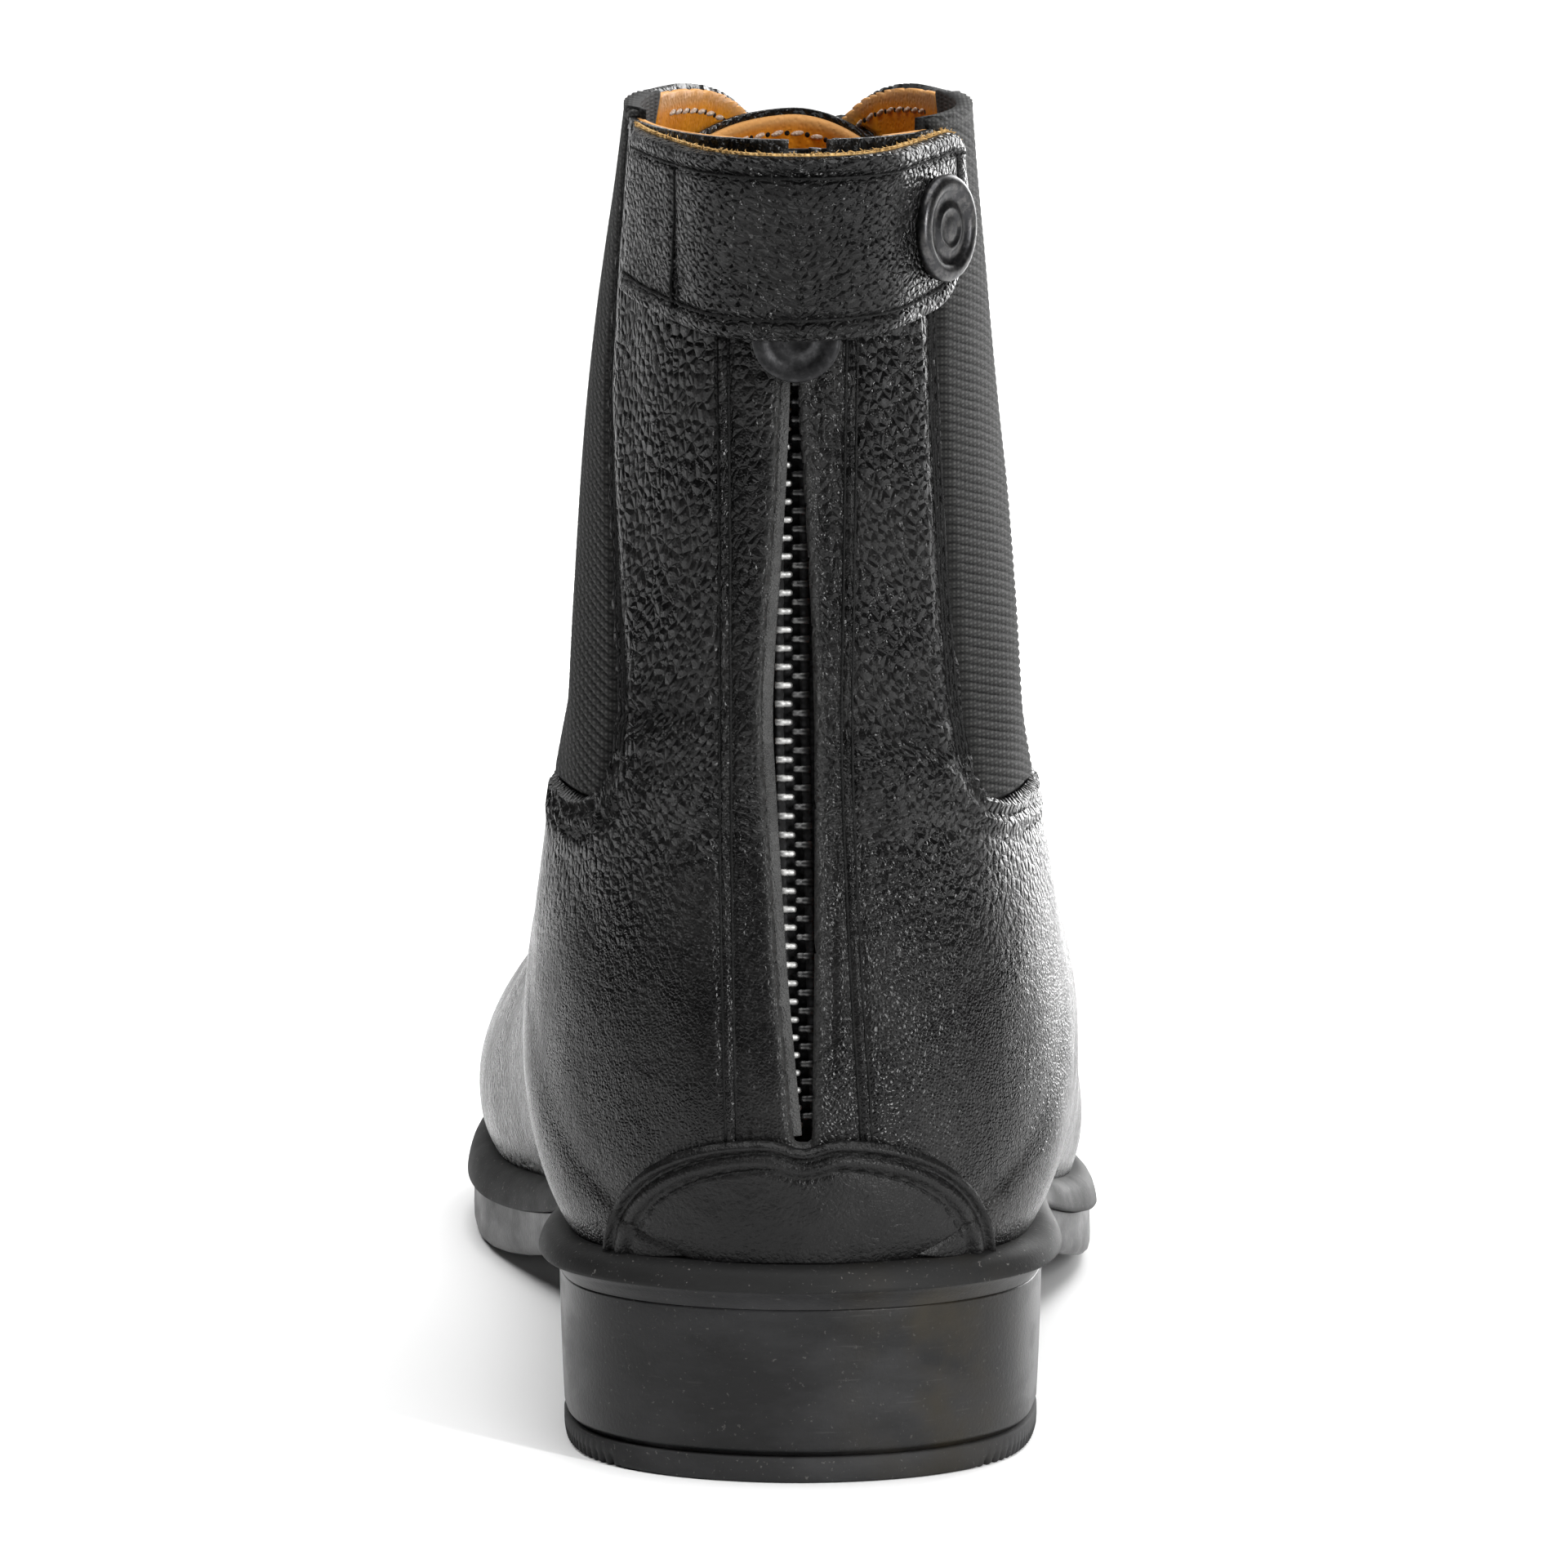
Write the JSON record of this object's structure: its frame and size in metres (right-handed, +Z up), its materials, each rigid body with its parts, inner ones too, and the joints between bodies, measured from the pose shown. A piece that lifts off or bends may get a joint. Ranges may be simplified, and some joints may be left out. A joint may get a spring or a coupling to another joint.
{
  "type": "lace-up ankle boot",
  "caption": "Black leather lace-up ankle boot with a rear zip, elastic side gussets, a snapped collar strap and a low stacked heel.",
  "frame": {"origin": "on the floor under the middle of the heel's top lift", "axes": "+X to the outer side of the right foot, +Y from heel to toe, +Z up"},
  "size_m": [0.0976, 0.2835, 0.1874],
  "materials": {
    "upper_leather": "black full-grain, satin",
    "gusset_elastic": "ribbed elastic, matt",
    "lining_leather": "tan lining leather, soft",
    "welt_rubber": "matt black",
    "sole_rubber": "satin black",
    "zip_tape": "woven black tape",
    "zip_metal": "gunmetal",
    "snap_metal": "gunmetal, rubbed edges",
    "eyelet_metal": "black enamel",
    "lace_cord": "braided round cord"
  },
  "bodies": {
    "boot": {"upper": "upper_leather", "tongue": "upper_leather", "heel_counter": "upper_leather", "collar_strap": "upper_leather", "gusset_medial": "gusset_elastic", "gusset_lateral": "gusset_elastic", "insole": "lining_leather", "welt": "welt_rubber", "outsole": "sole_rubber", "heel_block": "sole_rubber", "top_lift": "sole_rubber", "zip_tape": "zip_tape", "zip_chain": "zip_metal", "zip_slider": "zip_metal", "snap_cap": "snap_metal", "lace": "lace_cord", "eyelet_medial_1": "eyelet_metal", "eyelet_medial_2": "eyelet_metal", "eyelet_medial_3": "eyelet_metal", "eyelet_medial_4": "eyelet_metal", "eyelet_medial_5": "eyelet_metal", "eyelet_medial_6": "eyelet_metal", "eyelet_medial_7": "eyelet_metal", "eyelet_lateral_1": "eyelet_metal", "eyelet_lateral_2": "eyelet_metal", "eyelet_lateral_3": "eyelet_metal", "eyelet_lateral_4": "eyelet_metal", "eyelet_lateral_5": "eyelet_metal", "eyelet_lateral_6": "eyelet_metal", "eyelet_lateral_7": "eyelet_metal"},
    "zip_pull": {"zip_pull": "zip_metal"}
  },
  "joints": [
    {"name": "pull_swing", "type": "hinge", "parent": "boot", "child": "zip_pull", "pos_m": [-0.0004, -0.02216, 0.17], "axis": [-1, 0, 0], "range_deg": [0, 4]}
  ]
}
